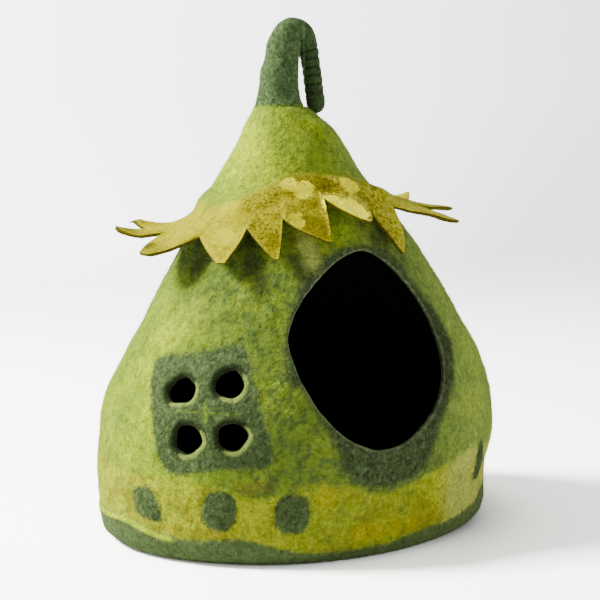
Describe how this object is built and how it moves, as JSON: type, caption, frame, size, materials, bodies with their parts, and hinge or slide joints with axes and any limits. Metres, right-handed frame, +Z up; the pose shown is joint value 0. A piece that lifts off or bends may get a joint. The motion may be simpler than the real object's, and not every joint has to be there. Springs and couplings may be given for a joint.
{
  "type": "felt cat cave",
  "caption": "Hollow cone-shaped felt pet cave with an arched door, small round windows, a ring of pointed felt leaves, felt dots round its foot and a bent stem loop on top.",
  "frame": {"origin": "on the floor under the middle of the body's lower wall", "axes": "+Z up along the body, -Y out through the door, +X to the right of someone facing the door"},
  "size_m": [0.4208, 0.3622, 0.5008],
  "materials": {
    "green_felt": "matt wool felt, lime green with a yellow band, dark green foot, window patch and door ring",
    "mustard_felt": "matt wool felt, mustard with pale yellow spots",
    "sage_felt": "matt wool felt, dark sage green"
  },
  "bodies": {
    "root": {"felt_shell": "green_felt", "leaf_collar": "mustard_felt", "stem_loop": "sage_felt", "dot_01": "sage_felt", "dot_02": "sage_felt", "dot_03": "sage_felt", "dot_04": "sage_felt", "dot_05": "sage_felt", "dot_06": "sage_felt", "dot_07": "sage_felt", "dot_08": "sage_felt", "dot_09": "sage_felt", "dot_10": "sage_felt", "dot_11": "sage_felt"}
  },
  "joints": []
}
